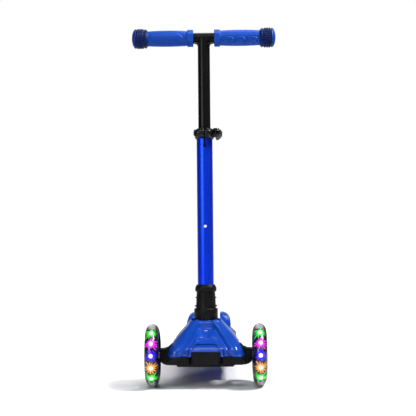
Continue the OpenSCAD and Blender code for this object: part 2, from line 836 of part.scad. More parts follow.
module collar() {
    points = [
        [tube_r, band_s], [23.4, band_s], [24, band_s + 1], [24, band_top_s - 1.5], [22.8, band_top_s],
        [20.4, band_top_s], [18.6, ring_s], [20.6, ring_s], [21.6, ring_s + 2], [21.6, collar_top_s - 6.5],
        [18.6, collar_top_s], [tube_r, collar_top_s]
    ];
    color(black) on_stem(0) difference() {
        union() {
            rotate_extrude($fn = 96) polygon(points);
            for (rib = [[rib_low_s, 22.6], [rib_high_s, 21.2]]) translate([0, 0, rib[0]]) difference() {
                pipe(rib[1], tube_r + 1, 2.6);
                translate([-12, -30, -1]) cube([24, 30, 5]);
            }
        }
        translate([0, 10, button_s]) rotate([-90, 0, 0]) cylinder(r = button_r + gap, h = 30);
    }
}

// The outer tube, with its clamping slot, the cross hole and the button's hole
module stem_tube() {
    color(deep_blue) on_stem(0) difference() {
        translate([0, 0, tube_s0]) pipe(tube_r, tube_in_r, tube_len);
        translate([0, 0, pin_hole_s]) rotate([90, 0, 0]) cylinder(d = pin_hole_d, h = 60, center = true);
        translate([0, 0, slot_end_s]) rotate([90, 0, 0]) cylinder(d = slot_end_d, h = 30);
        translate([-slot_w / 2, -30, slot_end_s]) cube([slot_w, 30, 60]);
        translate([0, 8, button_s]) rotate([-90, 0, 0]) cylinder(r = button_r + gap, h = 30);
    }
}

// The plastic guide at the outer tube's mouth
module tube_bush() {
    color(black) on_stem(0) difference() {
        translate([0, 0, tube_s1 - 26]) pipe(tube_in_r, inner_r + run, 26);
        translate([-slot_w / 2, -30, tube_s1 - 40]) cube([slot_w, 30, 60]);
    }
}

// The split ring that clamps the tube, with a round ear on each side of its slit
module clamp_ring() {
    color(black) on_stem(0) difference() {
        union() {
            translate([0, 0, clamp_s0]) cylinder(r = clamp_r, h = clamp_h);
            intersection() {
                along_x(-18, bolt_y, clamp_mid) cylinder(r = ear_round_r, h = 32);
                translate([-40, -40, clamp_s0]) cube([80, 40, clamp_h]);
            }
            translate([-15, bolt_y, clamp_mid - 8]) cube([28, 16, 16]);
        }
        translate([0, 0, clamp_s0 - 1]) cylinder(r = tube_r, h = tube_s1 - clamp_s0 + 1);
        translate([0, 0, tube_s1 - 1]) cylinder(r = inner_r + 0.6, h = 10);
        translate([-slot_w / 2, -60, clamp_s0 - 1]) cube([slot_w, 60, clamp_h + 2]);
        along_x(-60, bolt_y, clamp_mid) cylinder(r = bolt_r + 0.05, h = 120);
    }
}

// The draw bolt, whose cross barrel is the clamp lever's pivot
module clamp_bolt() {
    color(steel) on_stem(0) {
        along_x(-20, bolt_y, clamp_mid) cylinder(r = bolt_r, h = 20 + cam_x);
        translate([cam_x, bolt_y, clamp_mid]) cylinder(r = cam_pin_r, h = cam_h - 1, center = true);
    }
}

module clamp_nut() {
    color(black) on_stem(0) along_x(-21.8, bolt_y, clamp_mid) difference() {
        union() {
            translate([0, 0, 1.8]) cylinder(r = 7, h = 2);
            cylinder(r1 = 5, r2 = 7, h = 1.8);
        }
        translate([0, 0, 1]) cylinder(r = bolt_r + 0.05, h = 10);
    }
}

module clamp_lever() {
    arm = concat(
        [[cam_x - 6, bolt_y + 4], [cam_x + 6, bolt_y - 5]],
        [[36.6, bolt_y + 14], [36.6, 4], [34, 20], [30, 33], [25, 44]],
        [[22, 43], [25, 32], [28.5, 18], [29.5, 4], [28, -6], [cam_x, bolt_y + 9]]
    );
    color(black) on_stem(0) difference() {
        union() {
            translate([cam_x, bolt_y, clamp_mid]) cylinder(r = cam_r, h = cam_h, center = true);
            translate([0, 0, clamp_mid - cam_h / 2 + 1]) linear_extrude(cam_h - 2) polygon(arm);
        }
        translate([cam_x, bolt_y, clamp_mid]) cylinder(r = cam_pin_r + run, h = 40, center = true);
        translate([cam_x, bolt_y, clamp_mid - bolt_r - gap]) rotate([0, 0, 255])
            translate([-3, -14, 0]) cube([20, 28, 2 * (bolt_r + gap)]);
    }
}

// The button that locks the tube in the collar; it is pressed inwards from behind
module snap_button() {
    color(black) on_stem(button_s) {
        rotate([-90, 0, 0]) {
            translate([0, 0, 11]) cylinder(r = button_r, h = 11.2);
            translate([0, 0, 22.2]) cylinder(r1 = button_r, r2 = button_r - 1, h = 1);
            translate([0, 0, 9.6]) cylinder(r = button_r + 1.8, h = 2.6);
        }
    }
}

// The coil behind the button, drawn as its wound rings
module snap_spring() {
    wire = 0.8;
    coil_r = 4;
    turns = 8;
    y0 = -tube_in_r + 1.2;
    y1 = 9.6;
    color(steel) on_stem(button_s) rotate([-90, 0, 0]) {
        for (i = [0:turns - 1]) translate([0, 0, y0 + wire / 2 + i * (y1 - y0 - wire) / (turns - 1)])
            rotate_extrude($fn = 32) translate([coil_r, 0]) circle(d = wire, $fn = 16);
        translate([coil_r, 0, y0 + wire / 2]) cylinder(r = 0.25, h = y1 - y0 - wire, $fn = 16);
    }
}

// ---- handlebar ----
module inner_tube() {
    color(black) on_stem(0) difference() {
        translate([0, 0, inner_s0]) pipe(inner_r, inner_r - inner_wall, bar_s - inner_s0);
        along_x(-40, 0, bar_s) cylinder(r = crossbar_r, h = 80);
    }
}

module crossbar() {
    fillet = 8;
    foot_s = bar_s - crossbar_r - fillet + 1;
    points = concat(
        [[inner_r, foot_s]],
        arc(inner_r + fillet, foot_s, fillet, 180, 90, 6),
        [[inner_r, foot_s + fillet]]
    );
    color(black) on_stem(0) {
        along_x(-bar_half + 6, 0, bar_s) pipe(crossbar_r, crossbar_r - 2, bar_w - 12);
        difference() {
            intersection() {
                rotate_extrude() polygon(points);
                translate([-40, -crossbar_r, foot_s - 1]) cube([80, crossbar_d, fillet + 4]);
            }
            along_x(-40, 0, bar_s) cylinder(r = crossbar_r - 1, h = 80);
        }
    }
}

module guide_bush() {
    color(black) on_stem(inner_s0 - 3) difference() {
        cylinder(r = tube_in_r - run, h = 28);
        translate([0, 0, 3]) cylinder(r = inner_r, h = 40);
        translate([0, 0, -1]) cylinder(r = inner_r - 2, h = 40);
    }
}

// A moulded grip: an octagonal flange, a barrelled body, and a ribbed bulb at the end
module grip(side) {
    r = grip_d / 2;
    body_len = bulb_x0 - flange_x1;
    bulb_r = bulb_d / 2;
    body = concat(
        [[0, flange_x1], [r - 1.2, flange_x1], [r - 0.6, flange_x1 + 4]],
        [for (i = [1:7]) [r - 0.5 + 0.9 * sin(180 * i / 8), flange_x1 + 4 + (body_len - 8) * i / 8]],
        [[r - 0.6, bulb_x0 - 4], [r - 1.2, bulb_x0], [0, bulb_x0]]
    );
    ring_r = bulb_r - 0.9;
    groove_r = bulb_r - 2.6;
    dome_x = bar_half - dome_len;
    bulb = concat(
        [[0, bulb_x0 - 0.01], [bulb_r - 5, bulb_x0 - 0.01], [bulb_r - 3, bulb_x0 + 3], [ring_r, bulb_x0 + 4]],
        [[ring_r, bulb_x0 + 7], [groove_r, bulb_x0 + 7.6], [groove_r, bulb_x0 + 9]],
        [[groove_r + 0.2, bulb_x0 + 9.2], [groove_r + 0.2, dome_x - 1.8], [groove_r, dome_x - 1.2]],
        [for (i = [0:9]) [(bulb_r - 0.6) * cos(9 * i), dome_x + dome_len * sin(9 * i)]],
        [[0, bar_half]]
    );
    studs = 20;
    tooth_w = 3.8;
    color(blue) on_stem(bar_s) rotate([0, side > 0 ? 90 : -90, 0]) difference() {
        union() {
            translate([0, 0, grip_x0]) hex8(flange_d / 2, flange_len);
            rotate_extrude($fn = 96) polygon(body);
            rotate_extrude($fn = 96) polygon(bulb);
            for (i = [0:studs - 1]) rotate([0, 0, 360 * i / studs])
                translate([groove_r - 1, -tooth_w / 2, bulb_x0 + 9.2])
                    cube([bulb_r - 0.2 - groove_r + 1, tooth_w, dome_x - bulb_x0 - 11]);
        }
        translate([0, 0, grip_x0 - 1]) cylinder(r = crossbar_r, h = bar_half - 6 - grip_x0 + 1);
    }
}

module hex8(r, h) {
    rotate([0, 0, 22.5]) cylinder(r = r / cos(22.5), h = h, $fn = 8);
}

deck_board();
deck_tread();
chassis_plate();
chassis_screws();
axle_beam();
front_bumper();
head_bracket();
lean_pin();
bump_stops();
kingpins();
nose_shell();
nose_flap();
tail_guards();
rear_axle();
rear_axle_nut();
brake_pin();
brake_pedal();
brake_spring();
pivot_block();
lean_bush();
collar();
stem_tube();
tube_bush();
clamp_ring();
clamp_bolt();
clamp_nut();
clamp_lever();
snap_button();
snap_spring();
inner_tube();
crossbar();
guide_bush();
grip(1);  // grip_left
grip(-1);  // grip_right
tie_rod();
knuckle(1);  // knuckle_left
knuckle(-1);  // knuckle_right
wheel_axle(1);  // axle_left
wheel_axle(-1);  // axle_right
tyre_front(1);  // tyre_left
core_front(1);  // core_left
at_front_wheel(1) leds();  // leds_left
at_front_wheel(1) bearings(hub_half);  // bearings_left
at_front_wheel(1) spacer(hub_half);  // spacer_left
tyre_front(-1);  // tyre_right
core_front(-1);  // core_right
at_front_wheel(-1) leds();  // leds_right
at_front_wheel(-1) bearings(hub_half);  // bearings_right
at_front_wheel(-1) spacer(hub_half);  // spacer_right
tyre_rear();
core_rear();
at_rear_wheel() bearings(rear_wheel_w / 2);  // bearings_rear
at_rear_wheel() spacer(rear_wheel_w / 2);  // spacer_rear
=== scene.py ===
import json
import math

import bmesh
import bpy
import numpy as np
from mathutils import Matrix, Vector

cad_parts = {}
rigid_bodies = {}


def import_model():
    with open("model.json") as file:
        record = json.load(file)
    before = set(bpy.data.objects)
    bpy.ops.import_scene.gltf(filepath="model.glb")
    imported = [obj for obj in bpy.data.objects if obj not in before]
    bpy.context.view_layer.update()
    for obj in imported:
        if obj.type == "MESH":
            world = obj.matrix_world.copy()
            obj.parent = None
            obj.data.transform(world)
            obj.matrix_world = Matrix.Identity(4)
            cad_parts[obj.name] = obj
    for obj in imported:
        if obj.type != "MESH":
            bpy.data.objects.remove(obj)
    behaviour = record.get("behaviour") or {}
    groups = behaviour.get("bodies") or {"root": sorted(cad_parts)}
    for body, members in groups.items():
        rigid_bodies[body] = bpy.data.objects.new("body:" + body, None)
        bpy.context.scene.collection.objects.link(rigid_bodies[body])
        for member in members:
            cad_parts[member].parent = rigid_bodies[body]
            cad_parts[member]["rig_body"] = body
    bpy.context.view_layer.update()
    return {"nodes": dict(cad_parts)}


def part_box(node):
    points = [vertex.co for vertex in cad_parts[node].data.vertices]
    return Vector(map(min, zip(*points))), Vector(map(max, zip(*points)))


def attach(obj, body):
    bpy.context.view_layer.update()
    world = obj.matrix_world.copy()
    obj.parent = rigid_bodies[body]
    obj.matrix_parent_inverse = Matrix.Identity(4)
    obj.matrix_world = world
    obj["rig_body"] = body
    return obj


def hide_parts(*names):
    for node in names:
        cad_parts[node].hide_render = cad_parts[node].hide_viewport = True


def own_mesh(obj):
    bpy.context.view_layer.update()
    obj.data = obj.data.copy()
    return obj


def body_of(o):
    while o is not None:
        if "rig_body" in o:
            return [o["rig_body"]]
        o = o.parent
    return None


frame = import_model()


# ---- Camera ----
# A long lens looks at the scooter's front from 2 m ahead of the front axles, at the height of the
# stem's middle. It stands a little to the rider's left, turned back by 0.8 degrees and rolled by half
# a degree. The white comes out as white, with no film curve.
CAMERA_DISTANCE = 2.0
CAMERA_HEIGHT = 0.356
CAMERA_SIDE = 0.0344
CAMERA_YAW = math.radians(0.8)
CAMERA_ROLL = math.radians(-0.55)
CAMERA_LENS = 86.54
FILM_WIDTH = 36


def middle(name):
    """The middle of a node's box, as an array."""
    low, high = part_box(name)
    return (np.array(low) + np.array(high)) / 2


front_axle = (middle("tyre_left") + middle("tyre_right")) / 2
camera = bpy.data.objects.new("camera", bpy.data.cameras.new("camera"))
bpy.context.scene.collection.objects.link(camera)
camera.location = (CAMERA_SIDE, front_axle[1] - CAMERA_DISTANCE, CAMERA_HEIGHT)
level = Matrix.Rotation(CAMERA_YAW, 3, "Z") @ Matrix.Rotation(math.radians(90), 3, "X")
camera.rotation_euler = (level @ Matrix.Rotation(CAMERA_ROLL, 3, "Z")).to_euler()
camera.data.sensor_width = FILM_WIDTH
camera.data.lens = CAMERA_LENS
bpy.context.scene.camera = camera
bpy.context.scene.view_settings.view_transform = "Standard"


# ---- Studio ----
# A white paper floor that keeps the scooter's shadow, white surroundings that are dimmer as light and
# in reflections, dark drapes at both sides, and five soft boxes: overhead, at the front left, high on
# the right, above the head and behind. Close to the scooter, ambient occlusion cuts the floor's own
# glow, a painted shadow that deepens the real one under it.
WORLD_FILL = 0.21
GLOSS_FILL = 0.34
DRAPE = 0.88
DRAPE_SIDE = (0.45, 0.85)
DRAPE_TOP = (0.2, 0.7)
CEILING = 0.7
CEILING_EDGE = (0.25, 0.7)
FLOOR_HALF = 14.0
FLOOR_WHITE = (0.80, 0.80, 0.81, 1)
FLOOR_LIFT = 0.50
FLOOR_FADE = (0.75, 1.5)
SHADE_REACH = 0.36
SHADE_POWER = 3
FAR_GLOW = 0.5
HEAD = (0, -0.2, 0.1)


class Socket:
    """An output of a node in a tree. Arithmetic on it adds the Math nodes that work it out."""

    def __init__(self, tree, output=None):
        self.tree = tree
        self.output = output

    def node(self, kind, settings=None, inputs=None, output=0):
        """Adds a node of that type: its settings first, then the value or link of each input. A ramp's
        stops are pairs of a place and a colour, which holds up to the next stop."""
        made = self.tree.nodes.new(kind)
        for name, value in (settings or {}).items():
            if name != "stops":
                setattr(made, name, value)
                continue
            ramp = made.color_ramp
            ramp.interpolation = "CONSTANT"
            while len(ramp.elements) < len(value):
                ramp.elements.new(0.5)
            for element, (place, colour) in zip(ramp.elements, value):
                element.position = place
                element.color = (*colour, 1)
        for name, value in (inputs or {}).items():
            if isinstance(value, Socket):
                self.tree.links.new(value.output, made.inputs[name])
            else:
                made.inputs[name].default_value = value
        return Socket(self.tree, made.outputs[output]) if made.outputs else None

    def maths(self, operation, *others):
        """A Math node: that operation on this value and the others."""
        return self.node("ShaderNodeMath", {"operation": operation}, dict(enumerate((self, *others))))

    def __add__(self, other):
        return self.maths("ADD", other)

    __radd__ = __add__

    def __sub__(self, other):
        return self.maths("SUBTRACT", other)

    def __rsub__(self, other):
        return self.node("ShaderNodeMath", {"operation": "SUBTRACT"}, {0: other, 1: self})

    def __mul__(self, other):
        return self.maths("MULTIPLY", other)

    __rmul__ = __mul__

    def __truediv__(self, other):
        return self.maths("DIVIDE", other)

    def __pow__(self, other):
        return self.maths("POWER", other)

    def smooth(self, low, high):
        """0 below low, 1 above high, and a smooth step between."""
        return self.node("ShaderNodeMapRange", {"interpolation_type": "SMOOTHSTEP"},
                         {"Value": self, "From Min": low, "From Max": high})

    def mix(self, first, second):
        """The first colour where this is 0 and the second where it is 1."""
        return self.node("ShaderNodeMix", {"data_type": "RGBA"}, {0: self, 6: first, 7: second}, 2)

    def part(self, axis):
        """One coordinate of this vector: 0 for X, 1 for Y and 2 for Z."""
        return self.node("ShaderNodeSeparateXYZ", {}, {"Vector": self}, axis)

    def noise(self, scale, detail=3.0):
        """Fractal noise from 0 to 1 over these coordinates."""
        return self.node("ShaderNodeTexNoise", {}, {"Vector": self, "Scale": scale, "Detail": detail})

    def bump(self, strength, distance):
        """The normal of a skin with this height, in relief up to that distance in metres."""
        return self.node("ShaderNodeBump", {}, {
            "Height": self, "Strength": strength, "Distance": distance})


def cleared(owner):
    """The start of a world's or a material's own node tree, with its first nodes removed."""
    owner.use_nodes = True
    owner.node_tree.nodes.clear()
    return Socket(owner.node_tree)


world = bpy.data.worlds.new("studio")
bpy.context.scene.world = world
sky = cleared(world)
seen = sky.node("ShaderNodeLightPath", output="Is Camera Ray")
mirrored = sky.node("ShaderNodeLightPath", output="Is Glossy Ray")
through = sky.node("ShaderNodeLightPath", output="Is Transmission Ray")
towards = sky.node("ShaderNodeTexCoord", output="Generated")
drape = towards.part(0).maths("ABSOLUTE").smooth(*DRAPE_SIDE) * (1 - towards.part(2).smooth(*DRAPE_TOP))
surround = (WORLD_FILL + (GLOSS_FILL - WORLD_FILL) * mirrored) * (1 - DRAPE * drape)
surround = surround * (1 - CEILING * towards.part(2).smooth(*CEILING_EDGE))
white = (seen + through).maths("MINIMUM", 1.0)
strength = surround + (1 - surround) * white
backdrop = sky.node("ShaderNodeBackground", {}, {"Color": (1, 1, 1, 1), "Strength": strength})
sky.node("ShaderNodeOutputWorld", {}, {"Surface": backdrop})

floor_mesh = bpy.data.meshes.new("floor")
floor_mesh.from_pydata(
    [(x * FLOOR_HALF, y * FLOOR_HALF, 0) for x, y in ((-1, -1), (1, -1), (1, 1), (-1, 1))],
    [], [(0, 1, 2, 3)])
floor = bpy.data.objects.new("floor", floor_mesh)
bpy.context.scene.collection.objects.link(floor)
paper = bpy.data.materials.new("studio_paper")
sheet = cleared(paper)
floor_seen = sheet.node("ShaderNodeLightPath", output="Is Camera Ray")
on_floor = sheet.node("ShaderNodeTexCoord", output="Object")
# Painted shadow: ambient occlusion dims the floor's glow for the lens under and near the scooter.
painted_shadow_ao = sheet.node("ShaderNodeAmbientOcclusion", {"samples": 8}, {"Distance": SHADE_REACH}, 1)
matt = sheet.node("ShaderNodeBsdfDiffuse", {}, {"Color": FLOOR_WHITE})
lift = floor_seen * (FLOOR_LIFT * painted_shadow_ao ** SHADE_POWER)
near = sheet.node("ShaderNodeAddShader", {}, {
    0: matt, 1: sheet.node("ShaderNodeEmission", {}, {"Strength": lift})})
far = sheet.node("ShaderNodeEmission", {}, {"Strength": FAR_GLOW + (1 - FAR_GLOW) * floor_seen})
reach = on_floor.node("ShaderNodeVectorMath", {"operation": "LENGTH"}, {0: on_floor}, 1)
faded = sheet.node("ShaderNodeMixShader", {}, {0: reach.smooth(*FLOOR_FADE), 1: near, 2: far})
sheet.node("ShaderNodeOutputMaterial", {}, {"Surface": faded})
floor_mesh.materials.append(paper)


def soft_box(name, place, target, size, power):
    """A square area lamp that faces the target, its side in metres and its power in watts."""
    lamp = bpy.data.lights.new(name, "AREA")
    lamp.size = size
    lamp.energy = power
    holder = bpy.data.objects.new(name, lamp)
    bpy.context.scene.collection.objects.link(holder)
    holder.location = place
    direction = Vector(target) - Vector(place)
    holder.rotation_euler = direction.to_track_quat("-Z", "Y").to_euler()


soft_box("overhead", (-0.35, -1.5, 2.1), (0, -0.1, 0.3), 0.9, 11)
soft_box("front_left", (-1.5, -1.9, 0.9), (0, -0.1, 0.35), 0.7, 17)
soft_box("right_high", (1.15, -0.45, 1.75), HEAD, 0.5, 52)
soft_box("top_behind", (0.15, 0.35, 2.1), HEAD, 0.6, 8)
soft_box("back", (-0.6, 2.2, 1.3), (0, 0.1, 0.3), 1.2, 9)


# ---- Chassis and head ----
# Black moulded nylon beam and tray under a powder-coated steel plate and bracket, held by plated
# screws and pins. The pivot block and knuckles are die castings, and the stops and bush are rubber.
MM = 0.001
# The deeper and the lighter colour of each finish.
NYLON = ((0.0020, 0.0020, 0.0024, 1), (0.0045, 0.0045, 0.0055, 1))
PAINT = ((0.002, 0.002, 0.0023, 1), (0.005, 0.005, 0.0055, 1))
ZINC = ((0.55, 0.56, 0.58, 1), (0.74, 0.75, 0.77, 1))
CASTING = ((0.16, 0.16, 0.17, 1), (0.36, 0.36, 0.38, 1))
RUBBER = ((0.010, 0.010, 0.010, 1), (0.024, 0.024, 0.025, 1))
FLAT_WITHIN = math.radians(1)
CORNER_OVER = math.radians(32)
SAME_POINT = 1e-6
nodes = frame["nodes"]


def finish(name, recipe, specular=0.5, **fixed):
    """A material whose recipe turns Object coordinates into the inputs that vary over the surface;
    the fixed inputs are the same all over it."""
    made = bpy.data.materials.new(name)
    place = cleared(made).node("ShaderNodeTexCoord", output="Object")
    inputs = {"Specular IOR Level": specular, **fixed, **recipe(place)}
    shader = place.node("ShaderNodeBsdfPrincipled", {}, inputs)
    shader.node("ShaderNodeOutputMaterial", {}, {"Surface": shader})
    return made


def moulded_black(place):
    """Satin nylon: a fine leather grain in relief and slightly uneven gloss."""
    patches = place.noise(38.0)
    return {
        "Base Color": patches.smooth(0.3, 0.75).mix(*NYLON),
        "Roughness": 0.40 + 0.14 * patches,
        "Normal": place.noise(1900.0, 2.0).bump(0.18, 0.0003),
    }


def powder_coat(place):
    """Gloss black paint with a soft orange peel."""
    return {
        "Base Color": place.noise(9.0).mix(*PAINT),
        "Roughness": 0.24 + 0.10 * place.noise(60.0),
        "Normal": place.noise(420.0, 1.0).bump(0.03, 0.0002),
    }


def plated(place):
    """Zinc plate: bright, with a faint bloom and a very fine grain."""
    bloom = place.noise(90.0)
    return {
        "Base Color": bloom.mix(*ZINC),
        "Roughness": 0.20 + 0.22 * bloom,
        "Normal": place.noise(2600.0, 1.0).bump(0.08, 0.0002),
    }


def cast(place):
    """Tumbled die casting: a pebbled skin, darker in its pits."""
    pebble = place.noise(520.0, 4.0)
    return {
        "Base Color": pebble.mix(*CASTING),
        "Roughness": 0.42 + 0.2 * pebble,
        "Normal": pebble.bump(0.3, 0.0004),
    }


def matt_rubber(place):
    """Rubber: dark, dull and finely stippled."""
    stipple = place.noise(1300.0, 2.0)
    return {
        "Base Color": stipple.mix(*RUBBER),
        "Roughness": 0.72 + 0.14 * stipple,
        "Normal": stipple.bump(0.3, 0.0003),
    }


black_plastic = finish("satin_black_nylon", moulded_black, specular=0.15)
black_paint = finish("black_powder_coat", powder_coat, specular=0.12)
bright_steel = finish("zinc_plated_steel", plated, Metallic=1.0)
cast_grey = finish("tumbled_casting", cast, Metallic=0.85)
black_rubber = finish("matt_rubber", matt_rubber)


def dress(material, *names):
    """Gives CAD nodes a finish."""
    for name in names:
        mesh = nodes[name].data
        mesh.materials.clear()
        mesh.materials.append(material)


def softened(name, material, edge, steps=3):
    """A node's form with moulded corners: flat fields joined, then every corner rounded by edge mm."""
    mesh = nodes[name].data.copy()
    shape = bmesh.new()
    shape.from_mesh(mesh)
    bmesh.ops.remove_doubles(shape, verts=shape.verts, dist=SAME_POINT)
    bmesh.ops.dissolve_limit(shape, angle_limit=FLAT_WITHIN, verts=shape.verts, edges=shape.edges)
    bmesh.ops.recalc_face_normals(shape, faces=shape.faces)
    shape.to_mesh(mesh)
    shape.free()
    mesh.shade_smooth()
    mesh.materials.clear()
    mesh.materials.append(material)
    piece = bpy.data.objects.new(name + "_moulding", mesh)
    bpy.context.scene.collection.objects.link(piece)
    rounding = piece.modifiers.new("rounding", "BEVEL")
    rounding.width = edge * MM
    rounding.segments = steps
    rounding.limit_method = "ANGLE"
    rounding.angle_limit = CORNER_OVER
    rounding.harden_normals = True
    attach(piece, body_of(nodes[name])[0])
    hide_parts(name)
    return piece


softened("axle_beam", black_plastic, 1.6)
softened("front_bumper", black_plastic, 1.8)
dress(black_plastic, "tie_rod")
dress(black_paint, "chassis_plate", "head_bracket")
dress(bright_steel, "chassis_screws", "lean_pin", "kingpins", "axle_left", "axle_right")
dress(cast_grey, "pivot_block", "knuckle_left", "knuckle_right")
dress(black_rubber, "bump_stops", "lean_bush")


# ---- Deck, guards and brake ----
# A blue moulded deck carries a ribbed rubber tread. At its tail, two gloss guards flank the rear
# wheel, and a moulded pedal over the wheel turns on a plated pin.
SHELL = ((0.003, 0.045, 0.34), (0.005, 0.060, 0.43))
DECK = ((0.005, 0.055, 0.40), (0.008, 0.070, 0.48))


def moulded_blue(deep, light, peel=0.06):
    """A recipe for gloss coloured plastic: faint flow marks from deep to light, a slight orange peel
    and fine scuffs in the gloss."""
    def recipe(place):
        scuffs = place.noise(240.0, 5.0)
        return {
            "Base Color": place.noise(16.0).smooth(0.3, 0.7).mix((*deep, 1), (*light, 1)),
            "Roughness": 0.12 + 0.10 * scuffs.smooth(0.45, 0.8),
            "Normal": place.noise(300.0, 1.0).bump(peel, 0.0004),
        }
    return recipe


shell_blue = finish("gloss_blue_shell", moulded_blue(*SHELL), specular=0.36)
deck_blue = finish("satin_blue_deck", moulded_blue(*DECK, 0.15), specular=0.25)
softened("tail_guards", shell_blue, 2.4)
softened("brake_pedal", shell_blue, 1.2)
dress(deck_blue, "deck_board")
dress(black_rubber, "deck_tread")
dress(bright_steel, "rear_axle", "rear_axle_nut", "brake_pin")


# ---- Nose ----
# One gloss moulding drops over the head bracket. Raised shoulders run from the collar down to the
# front corners, a dished field lies between them, and a raised rim frames the mouth, in which a
# separate flap sits.
STEM_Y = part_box("lean_pin")[0][1] / MM + 29.2
NOSE_TOP = 130.0
NOSE_HEM = 63.5
ARM_HEM = 88.0
DECK_HEM = 70.2
COLLAR_SEAT = 20.3
NOSE_WALL = 2.4
# Distances behind the stem's axis at which the hem rises over the arms, and comes down on the deck.
ARM_FROM = (-45.6, -44.0)
DECK_FROM = (17.3, 19.0)
# The roof's height on the axis, and how far it falls for each mm sideways and each mm back.
ROOF_TOP = 129.6
ROOF_FALL_SIDE = 0.158
ROOF_FALL_BACK = 0.052
# Sizes over heights: half width, reach ahead of and behind the stem's axis, and power of the plan.
NOSE_SIDE = ([63.6, 80, 82.7, 102.3, 126, 131], [77.8, 71.8, 70.5, 55.0, 33.5, 30.5])
NOSE_FRONT = ([63.5, 77, 81, 130], [74.0, 74.0, 71.5, 27.5])
NOSE_BACK = ([66, 74, 126, 131], [92.0, 91.0, 34.5, 28.5])
NOSE_POWER = ([66, 80, 131], [7.5, 5.5, 3.2])
TAIL_SIDE = 62.0
TAIL_POWER = 4.0
# The top edge of one half of the mouth, as places (x, z).
MOUTH = np.array([(0, 89.0), (20, 89.0), (23, 86.5), (29.5, 76.0), (30.9, 63.5), (32.5, 50.0)])


def eased(values, low, high):
    """0 below low, 1 above high, and t * t * (3 - 2 t) between, where t runs from low to high."""
    t = np.clip((values - low) / (high - low), 0, 1)
    return t * t * (3 - 2 * t)


def rounded(z, heights, sizes):
    """A broken line of sizes over heights, its corners eased by a mean over 3 mm of height."""
    steps = np.linspace(-1.5, 1.5, 7)
    return sum(np.interp(z + step, heights, sizes) for step in steps) / len(steps)


def furrow(off, depth, width):
    """A groove: its depth times a bell curve of the distance off its middle over its width."""
    return depth * np.exp(-(off / width) ** 2)


def to_line(x, z, line):
    """The distance from each point (x, z) to the nearest place on a broken line."""
    nearest = np.full(np.broadcast(x, z).shape, np.inf)
    for (x0, z0), (x1, z1) in zip(line[:-1], line[1:]):
        run_x, run_z = x1 - x0, z1 - z0
        t = np.clip(((x - x0) * run_x + (z - z0) * run_z) / (run_x ** 2 + run_z ** 2), 0, 1)
        nearest = np.minimum(nearest, np.hypot(x - x0 - t * run_x, z - z0 - t * run_z))
    return nearest


def nose_ring(turn, z):
    """Distance from the stem's axis to the shell: a superellipse in plan, whose half width, reach and
    power follow the height z. Behind the stem its half width stays within 62 mm and its power eases to
    4. A turn of 0 looks forwards."""
    side, ahead = np.sin(turn), np.cos(turn)
    wide = rounded(z, *NOSE_SIDE)
    wide = wide + (np.minimum(wide, TAIL_SIDE) - wide) * eased(-ahead, 0.0, 0.24)
    reach = np.where(ahead > 0, rounded(z, *NOSE_FRONT), rounded(z, *NOSE_BACK))
    power = np.interp(z, *NOSE_POWER)
    power = power + (TAIL_POWER - power) * eased(-ahead, 0.0, 0.2)
    return (np.abs(side / wide) ** power + np.abs(ahead / reach) ** power) ** (-1 / power)


RECESS = 4.2
SHOULDER_WIDTH = ([63.5, 82, 131], [19.5, 18.5, 13.0])
SHOULDER_RISE = 3.0
SHOULDER_FURROW = (1.6, 1.5)
SLANT = 5.0
FIELD_DROP = 6.0
FIELD_LIFT = 4.2
FIELD_HIGH = (114, 127)
DISH_SLOPE = 0.55
DISH_RUN = 11
DISH_FOOT = (95.5, 98.5)
CREASE_FOOT = 12.4
CREASE_SLOPE = 1.074
RIM_RISE = 6.0
RIM_HALF = 7.6
RIM_EDGE = 2.8
RIM_TOP = 98
RIM_FURROW = (1.2, 1.3)
HEM_LIP = 1.2
HEM_LIP_TOP = (66.0, 67.2)


def nose_relief(turn, z):
    """How far the face stands out of the plain ring. It all lies 4.2 mm in. Each shoulder is a half
    sine across, 3 mm high. The field between them drops 6 mm more, less so near the collar, behind a
    5 mm slant with a furrow at its foot, and has a dish that deepens with the distance inside two
    slanting creases. The rim of the mouth rises 6 mm from the field, with a furrow round it, and a lip
    1.2 mm thick runs along the hem."""
    out = nose_ring(turn, z)
    x = np.abs(out * np.sin(turn))
    facing = eased(out * np.cos(turn) / rounded(z, *NOSE_FRONT), 0.66, 0.86)
    edge = rounded(z, *NOSE_SIDE)
    shoulder = edge - np.interp(z, *SHOULDER_WIDTH)
    high = eased(z, *FIELD_HIGH)
    crest = np.sin(math.pi * np.clip((x - shoulder) / (edge - shoulder), 0, 1))
    slant = np.clip((x - shoulder + SLANT) / SLANT, 0, 1)
    slant_furrow = furrow(x - shoulder + SLANT + 0.6, *SHOULDER_FURROW) * (1 - high)
    field = (FIELD_DROP - FIELD_LIFT * high) * (1 - slant)
    crease = CREASE_FOOT + CREASE_SLOPE * (z - DISH_FOOT[1])
    dish = DISH_SLOPE * np.clip(crease - x, 0, DISH_RUN) * eased(z, *DISH_FOOT) * (1 - 0.8 * high)
    off_mouth = to_line(x, z, MOUTH)
    rim = np.clip((RIM_HALF - off_mouth) / RIM_EDGE, 0, 1) * (z < RIM_TOP)
    rim_furrow = furrow(off_mouth - RIM_HALF - 1.0, *RIM_FURROW) * (z < RIM_TOP + 2)
    lip = HEM_LIP * (1 - eased(z, *HEM_LIP_TOP)) * (x > 31.0)
    return facing * (lip + SHOULDER_RISE * crest - RECESS - slant_furrow * (1 - rim) - field
                     + RIM_RISE * rim * (1 - slant) - (dish + rim_furrow) * (1 - rim) * (1 - slant))


